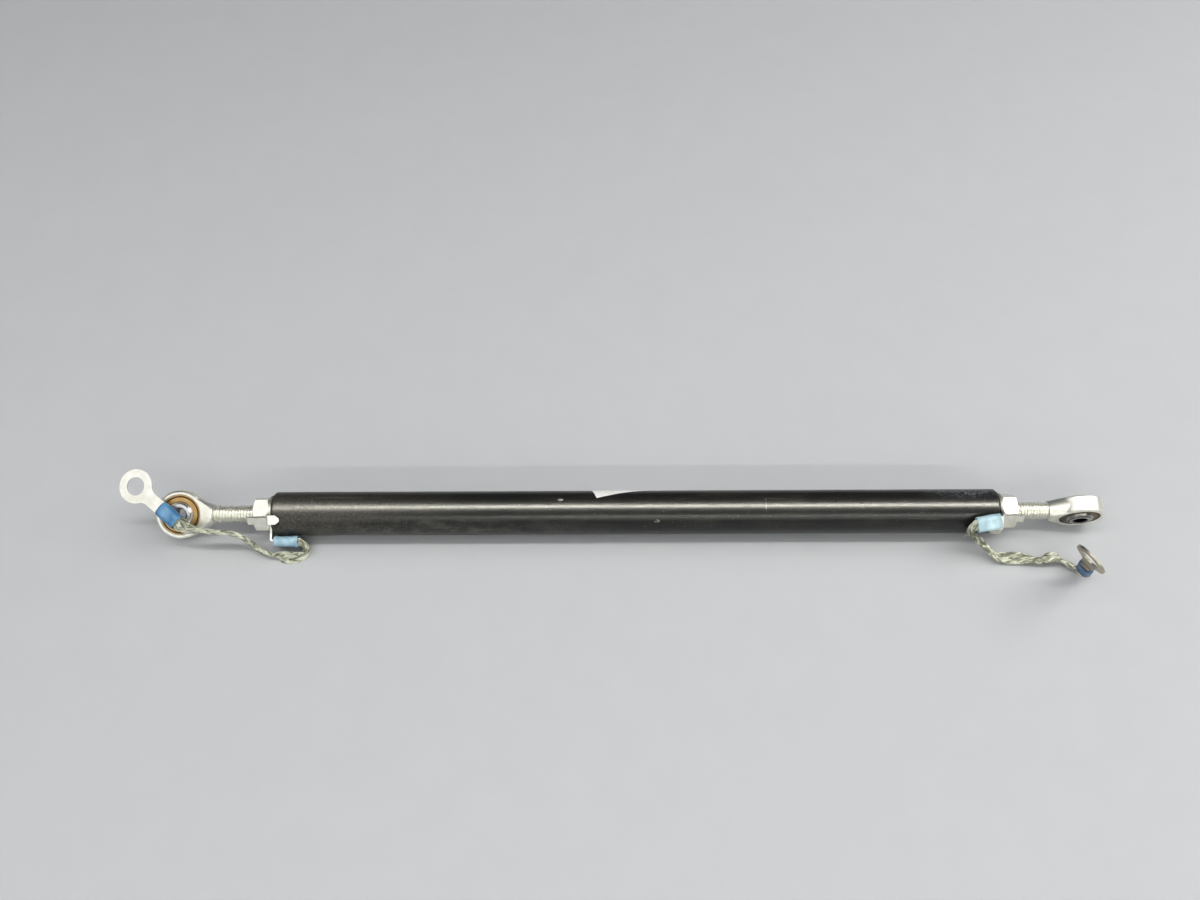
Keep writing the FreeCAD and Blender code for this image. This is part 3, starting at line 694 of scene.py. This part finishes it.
def make_braid(side):
    """A flat tube woven of strands that run round it both ways."""
    spine, length = evenly(route_points(side), SPINE_STEP)
    count = len(spine)
    frames = braid_frames(side, spine)
    points = []
    faces = []
    tones = []
    section = strand_section()
    n = len(section)
    for way in (1, -1):
        for carrier in range(CARRIERS):
            first = len(points)
            # How bright this strand is, and how it strays from an even weave
            tone = random.choice((0, 1))
            slack = random.uniform(-0.05, 0.07) * MM
            stray = random.uniform(-0.4, 1.0)
            drift = random.uniform(-0.16, 0.16) / CARRIERS
            waver = random.uniform(0, 2 * math.pi)
            for index, (centre, flat, face, wide, thick, loose) in enumerate(frames):
                at = length * index / (count - 1)
                share = (carrier + WAVER * math.sin(at / WAVER_LENGTH + waver)) / CARRIERS
                share += way * at / BRAID_PITCH + drift
                width = BRAID_WIDTH * wide - STRAND_THICKNESS
                height = BRAID_THICKNESS * thick - STRAND_THICKNESS
                x, z = slot_point(share % 1.0, width, height)
                out = outward(x, z, width, height)
                lift = WEAVE_LIFT * way * math.sin(
                    2 * math.pi * (at / BRAID_PITCH * CARRIERS / 2 + carrier / 2 + 0.25))
                lift += slack + loose * stray * LOOSE_REACH
                middle = centre + flat * (x + out.x * lift) + face * (z + out.y * lift)
                normal = flat * out.x + face * out.y
                after = slot_point((share + 0.01 * way) % 1.0, width, height)
                round_way = (flat * (after[0] - x) + face * (after[1] - z)).normalized()
                cross = (round_way - normal * round_way.dot(normal)).normalized()
                for across, up in section:
                    point = middle + cross * across * STRAND_WIDTH
                    point += normal * up * STRAND_THICKNESS / 2
                    if point.z < REST_LEVEL:
                        point.z = REST_LEVEL + (point.z - REST_LEVEL) * SQUASH
                    points.append(point)
            for row in range(count - 1):
                for k in range(n):
                    a = first + row * n + k
                    b = first + row * n + (k + 1) % n
                    faces.append((a, b, b + n, a + n) if way > 0
                                 else (b, a, a + n, b + n))
            last = first + (count - 1) * n
            faces.append(tuple(range(first, first + n)))
            faces.append(tuple(range(last + n - 1, last - 1, -1)))
            tones += [tone] * (len(faces) - len(tones))
    mesh = bpy.data.meshes.new(f"{side}_woven_braid")
    mesh.from_pydata(points, [], faces)
    obj = new_object(f"{side}_woven_braid", mesh, BRAID, f"{side}_rod_end")
    mesh.materials.append(DULL_BRAID)
    mesh.polygons.foreach_set("material_index", tones)
    mesh.update()
    shade_smooth(mesh, 50)
    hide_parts(f"{side}_braid")
    return obj, spine


# Crimped sleeves in mm: place along the sleeve, width and height, out and back in
SLEEVE_STATIONS = [
    (0.0, 5.1, 3.1), (0.12, 5.5, 3.4), (0.5, 5.75, 3.65), (0.9, 5.6, 3.5), (1.3, 5.7, 3.35),
    (3.0, 6.05, 3.3), (5.0, 5.9, 3.45), (5.6, 5.75, 3.6), (7.4, 5.8, 3.95), (8.4, 5.85, 4.05),
    (8.6, 5.6, 3.85), (8.6, 5.1, 3.4), (8.4, 4.9, 3.25), (6.5, 4.8, 3.2),
]
SLEEVE_STEP = 0.3
SLEEVE_STEPS_ROUND = 56
# Stations short of this place and wider than this are on the sleeve's outside
OUTSIDE_END, OUTSIDE_WIDTH = 8.3, 5.0
# The crimping tool's dent: its place, its reach along and across, and its depth
DENT_AT, DENT_LONG, DENT_WIDE, DENT_DEEP = 3.1, 1.0, 1.5, 0.32


def make_sleeve(side, kind, material):
    """A hollow oval sleeve with a flared mouth and a dent pressed in on both flats."""
    rows = []
    for before, after in zip(SLEEVE_STATIONS, SLEEVE_STATIONS[1:]):
        steps = max(1, int((after[0] - before[0]) / SLEEVE_STEP))
        for step in range(steps):
            t = step / steps
            rows.append([a + (b - a) * t for a, b in zip(before, after)])
    rows.append(list(SLEEVE_STATIONS[-1]))
    around = SLEEVE_STEPS_ROUND
    points = []
    for x, width, height in rows:
        outside = x < OUTSIDE_END and width > OUTSIDE_WIDTH
        for step in range(around):
            y, z = slot_point(step / around, width, height)
            if outside:
                dent = math.exp(-((x - DENT_AT) / DENT_LONG) ** 2 - (y / DENT_WIDE) ** 2)
                z -= math.copysign(DENT_DEEP * dent, z)
            points.append((x * MM, y * MM, z * MM))
    faces = []
    for row in range(len(rows) - 1):
        for step in range(around):
            a = row * around + step
            b = row * around + (step + 1) % around
            faces.append((b, a, a + around, b + around))
    last = (len(rows) - 1) * around
    faces.append(tuple(range(around)))
    faces.append(tuple(range(last + around - 1, last - 1, -1)))
    mesh = mesh_from(f"{side}_{kind}_crimp", points, faces)
    mesh.transform(sleeve_frame(side, kind))
    shade_smooth(mesh, 42)
    obj = new_object(f"{side}_{kind}_crimp", mesh, material, f"{side}_rod_end")
    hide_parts(f"{side}_{kind}_sleeve")
    return obj


def wire(name, points, radius, side):
    """A bent strand as a thin tube."""
    mesh = nurbs_mesh(name, points, 12, radius)
    mesh.name = name
    shade_smooth(mesh, 60)
    return new_object(name, mesh, BRAID, f"{side}_rod_end")


# Blank label round the back of the tube, set askew
LABEL_LENGTH = 34 * MM
LABEL_WIDTH = 15 * MM
LABEL_SKEW = math.radians(18)
# Its first corner: place along the tube, and turn about it from the top
LABEL_CORNER = (150.4 * MM, math.radians(-4.7))
LABEL_THICKNESS = 0.07 * MM
LABEL_GAP = 0.01 * MM
# Its rim stands up a little
RIM_WIDTH = 0.3 * MM
RIM_LIFT = 0.03 * MM


def label():
    """A thin sheet bent round the tube: an outer and an inner grid and their border."""
    columns, rows = 40, 24
    outer = []
    inner = []
    for row in range(rows + 1):
        for column in range(columns + 1):
            a = LABEL_LENGTH * column / columns
            b = LABEL_WIDTH * row / rows
            from_rim = min(a, LABEL_LENGTH - a, b, LABEL_WIDTH - b)
            x = LABEL_CORNER[0] + a * math.cos(LABEL_SKEW) - b * math.sin(LABEL_SKEW)
            arc = a * math.sin(LABEL_SKEW) + b * math.cos(LABEL_SKEW)
            angle = LABEL_CORNER[1] - arc / TUBE_R
            lift = RIM_LIFT if from_rim < RIM_WIDTH else 0
            for target, radius in ((outer, TUBE_R + LABEL_THICKNESS + lift),
                                   (inner, TUBE_R + LABEL_GAP)):
                target.append((x, -radius * math.sin(angle), radius * math.cos(angle)))
    points = outer + inner
    base = len(outer)
    width = columns + 1
    faces = []
    for row in range(rows):
        for column in range(columns):
            a = row * width + column
            quad = (a, a + 1, a + 1 + width, a + width)
            faces.append(quad)
            faces.append(tuple(base + i for i in reversed(quad)))
    border = list(range(width))
    border += [row * width + columns for row in range(1, rows + 1)]
    border += [rows * width + column for column in range(columns - 1, -1, -1)]
    border += [row * width for row in range(rows - 1, 0, -1)]
    for a, b in zip(border, border[1:] + border[:1]):
        faces.append((b, a, base + a, base + b))
    mesh = mesh_from("blank_label", points, faces)
    shade_smooth(mesh, 40)
    return new_object("blank_label", mesh, STICKER, "rod_tube")


# The whole part
# The right free terminal wears the darker tin with painted shade
FREE_LOOKS = {"left": (TIN, "blue_sleeve"), "right": (TARNISHED_SHADED_TIN, "dark_sleeve")}
dress("tube", PAINT, 0)
for side in ("left", "right"):
    dress(f"{side}_end_plug", PAINT, 0.1 * MM)
    rod_end(side)
    dress(f"{side}_race", BRASS_AND_SHADED_BRASS[side], 0)
    dress(f"{side}_ball", STEEL_AND_SHADED_STEEL[side], 0.06 * MM)
    dress(f"{side}_jam_nut", PLATING, 0.15 * MM)
    dress(f"{side}_lock_washer", PLATING, 0.06 * MM)
    dress(f"{side}_clamped_terminal", TIN, 0.08 * MM)
    free_metal, free_slot = FREE_LOOKS[side]
    free = dress(f"{side}_free_terminal", free_metal, 0.1 * MM)
    make_sleeve(side, "clamped", SLEEVES[side, "clamped"])
    sleeve = make_sleeve(side, "free", SLEEVES[side, "free"])
    braid, spine = make_braid(side)
    if side == "right":
        wire("stray_strand", STRAY_STRAND, 0.09 * MM, side)
label()

# Floor
FLOOR_HALF = 6
floor_corners = [(x * FLOOR_HALF, y * FLOOR_HALF, 0)
                 for x, y in ((-1, -1), (1, -1), (1, 1), (-1, 1))]
floor_mesh = mesh_from("floor", floor_corners, [(0, 1, 2, 3)])
floor = bpy.data.objects.new("floor", floor_mesh)
bpy.context.scene.collection.objects.link(floor)
floor.location = (0.15, 0, FLOOR_Z)
ground, ground_tree, ground_shader = new_material("pale_floor")
ground_tone = remap(ground_tree, noise(ground_tree, placed(ground_tree), 60.0), 0.3, 0.7)
ground_tree.links.new(mix(ground_tree, ground_tone, (0.435, 0.445, 0.465), (0.445, 0.455, 0.475)),
                      ground_shader.inputs["Base Color"])
ground_shader.inputs["Roughness"].default_value = 0.85
floor_mesh.materials.append(ground)

# Lights: name, place, the point it faces, its length and width, watts and colour.
# The long ones run parallel to the rod, so that their streaks stay straight on it
LIGHTS = [
    ("key", (0.95, 0.25, 0.62), (0.16, 0, 0), (0.5, 0.5), 3.6, (1.0, 0.98, 0.95)),
    ("overhead", (0.25, -0.08, 1.0), (0.25, 0, 0), (2.6, 0.09), 9.5, (1.0, 0.985, 0.95)),
    ("tube_streak", (0.25, -0.05, 1.05), (0.25, 0, 0), (2.6, 0.08), 62.0, (1.0, 0.97, 0.84)),
    ("thin_front", (0.5, -0.834, 0.552), (0.5, 0, 0), (1.1, 0.02), 3.0, (1.0, 1.0, 0.88)),
    ("front", (0.5, -0.91, 0.41), (0.5, 0, 0), (1.0, 0.40), 1.6, (0.98, 0.99, 1.0)),
    ("front_left", (-0.4, -0.91, 0.41), (-0.1, 0, 0), (0.5, 0.45), 1.5, (0.98, 0.99, 1.0)),
    ("left_side", (-0.5, -0.45, 0.75), (0.0, 0, 0), (0.7, 0.55), 1.2, (1.0, 0.99, 0.98)),
    ("right_side", (1.25, 0.0, 0.85), (0.3, 0, 0), (0.7, 0.8), 2.0, (1.0, 0.99, 0.97)),
    ("viewer_side", (0.1, -0.5, 1.1), (0.15, 0, 0), (1.6, 0.9), 2.2, (1.0, 0.99, 0.97)),
    ("ceiling", (0.15, 0.3, 3.0), (0.15, 0.3, 0), (5.0, 5.0), 14.0, (0.98, 0.99, 1.0)),
]
lamps = {}
for name, place, target, size, power, colour in LIGHTS:
    data = bpy.data.lights.new(name, "AREA")
    data.shape = "RECTANGLE"
    data.size, data.size_y = size
    data.energy = power
    data.color = colour
    lamp = bpy.data.objects.new(name, data)
    lamp.location = place
    aim = Vector(target) - Vector(place)
    lamp.rotation_euler = aim.to_track_quat("-Z", "Y").to_euler()
    bpy.context.scene.collection.objects.link(lamp)
    lamps[name] = lamp
for name in ("viewer_side", "ceiling"):
    lamps[name].visible_glossy = False
# This one draws the bright streak on the tube and lights nothing else
lamps["tube_streak"].visible_diffuse = False
tube_only = bpy.data.collections.new("tube_only")
tube_only.objects.link(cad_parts["tube"])
lamps["tube_streak"].light_linking.receiver_collection = tube_only

# The room is brighter on the viewer's side than behind the rod
world = bpy.data.worlds.new("studio")
world.use_nodes = True
sky = world.node_tree
background = sky.nodes["Background"]
around = add(sky, "ShaderNodeTexCoord")
heading = add(sky, "ShaderNodeSeparateXYZ")
sky.links.new(around.outputs["Generated"], heading.inputs[0])
side_glow = remap(sky, heading.outputs["Y"], 0.5, -0.6)
glow = mix(sky, side_glow, (0.07, 0.075, 0.085), (0.15, 0.155, 0.16))
sky.links.new(glow, background.inputs["Color"])
bpy.context.scene.world = world
bpy.context.scene.view_settings.view_transform = "Standard"

# Camera, as worked out from the photograph: its focal length is in pixels
CAMERA_AT = (0.1517, -0.2626, 0.3641)
PITCH_DOWN = math.radians(51.3)
ROLL = math.radians(0.25)
FOCAL_LENGTH = 1234.0
PHOTO_WIDTH = 1200.0
SENSOR_WIDTH = 36.0
forward = Vector((0, math.cos(PITCH_DOWN), -math.sin(PITCH_DOWN)))
down = Vector((0, -math.sin(PITCH_DOWN), -math.cos(PITCH_DOWN)))
across = Vector((1, 0, 0))
right = across * math.cos(ROLL) + down * math.sin(ROLL)
up = -(down * math.cos(ROLL) - across * math.sin(ROLL))
camera_data = bpy.data.cameras.new("camera")
camera_data.sensor_width = SENSOR_WIDTH
camera_data.lens = FOCAL_LENGTH / PHOTO_WIDTH * SENSOR_WIDTH
camera_data.clip_start = 0.01
camera = bpy.data.objects.new("camera", camera_data)
pose = Matrix((right, up, -forward)).transposed().to_4x4()
pose.translation = CAMERA_AT
camera.matrix_world = pose
bpy.context.scene.collection.objects.link(camera)
bpy.context.scene.camera = camera
